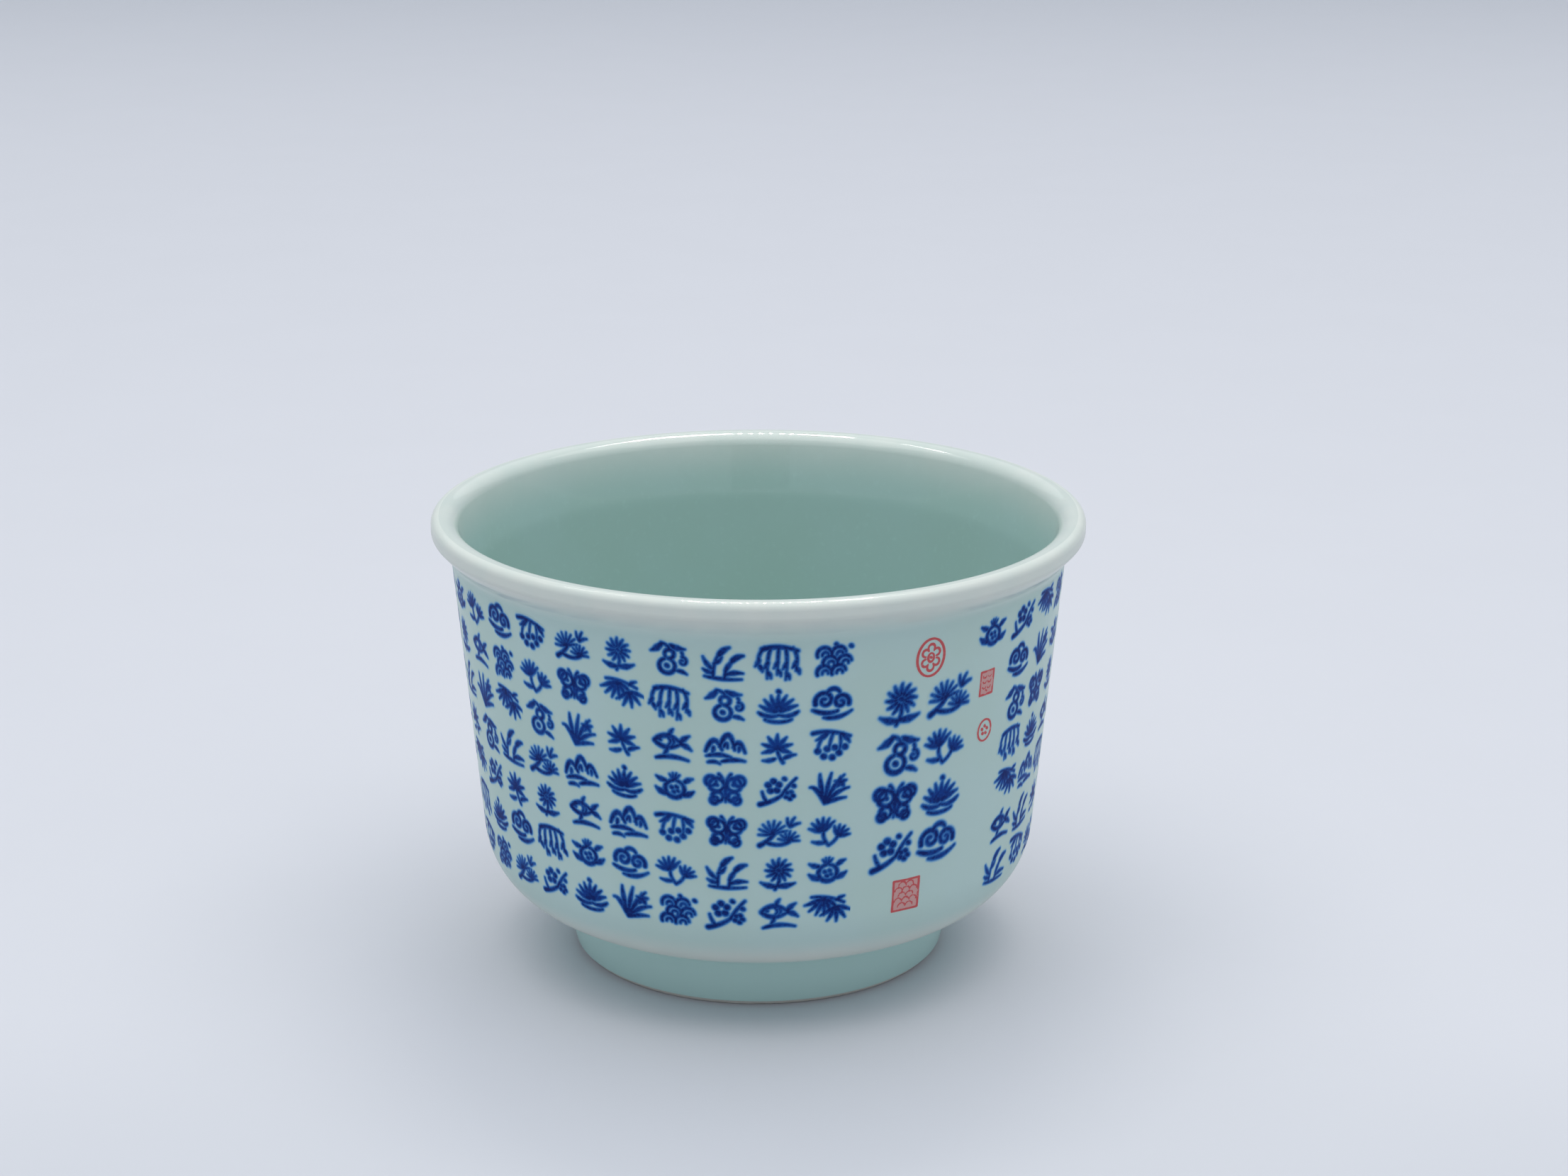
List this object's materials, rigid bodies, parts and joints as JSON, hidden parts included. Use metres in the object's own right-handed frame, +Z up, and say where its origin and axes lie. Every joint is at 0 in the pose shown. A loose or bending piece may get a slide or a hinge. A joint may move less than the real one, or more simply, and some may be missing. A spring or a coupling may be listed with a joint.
{
  "type": "handleless teacup",
  "caption": "Handleless porcelain teacup with an everted lip, near-straight wall, rounded shoulder and a small foot ring, glazed pale celadon with blue brush marks and red seals.",
  "frame": {"origin": "centre of the circle that the foot stands on, on the table's plane", "axes": "+Z up along the cup's axis of turning; -Y is the front, with the larger marks and the seals to the front right (+X)"},
  "size_m": [0.082, 0.082, 0.0575],
  "materials": {
    "porcelain_clay": "bare fired porcelain, fine and matte",
    "celadon_glaze": "pale bluish-green gloss glaze",
    "cobalt_blue": "underglaze cobalt, under gloss",
    "red_enamel": "thin red line enamel, gloss"
  },
  "bodies": {
    "root": {"bowl_body": "porcelain_clay", "foot_ring": "porcelain_clay", "inner_glaze": "celadon_glaze", "outer_glaze": "celadon_glaze", "well_glaze": "celadon_glaze", "cobalt_column_01": "cobalt_blue", "cobalt_column_02": "cobalt_blue", "cobalt_column_03": "cobalt_blue", "cobalt_column_04": "cobalt_blue", "cobalt_column_05": "cobalt_blue", "cobalt_column_06": "cobalt_blue", "cobalt_column_07": "cobalt_blue", "cobalt_column_08": "cobalt_blue", "cobalt_column_09": "cobalt_blue", "cobalt_column_10": "cobalt_blue", "cobalt_column_11": "cobalt_blue", "cobalt_column_12": "cobalt_blue", "cobalt_column_13": "cobalt_blue", "cobalt_column_14": "cobalt_blue", "cobalt_column_15": "cobalt_blue", "cobalt_column_16": "cobalt_blue", "cobalt_column_17": "cobalt_blue", "cobalt_column_18": "cobalt_blue", "cobalt_column_19": "cobalt_blue", "cobalt_column_20": "cobalt_blue", "cobalt_column_21": "cobalt_blue", "cobalt_column_22": "cobalt_blue", "cobalt_column_23": "cobalt_blue", "cobalt_column_24": "cobalt_blue", "cobalt_column_25": "cobalt_blue", "cobalt_column_26": "cobalt_blue", "cobalt_column_27": "cobalt_blue", "cobalt_column_28": "cobalt_blue", "cobalt_column_29": "cobalt_blue", "cobalt_column_30": "cobalt_blue", "cobalt_column_31": "cobalt_blue", "cobalt_column_32": "cobalt_blue", "cobalt_column_33": "cobalt_blue", "cobalt_column_34": "cobalt_blue", "cobalt_column_35": "cobalt_blue", "title_column_left": "cobalt_blue", "title_column_right": "cobalt_blue", "oval_seal": "red_enamel", "large_square_seal": "red_enamel", "small_square_seal": "red_enamel", "round_seal": "red_enamel"}
  },
  "joints": []
}
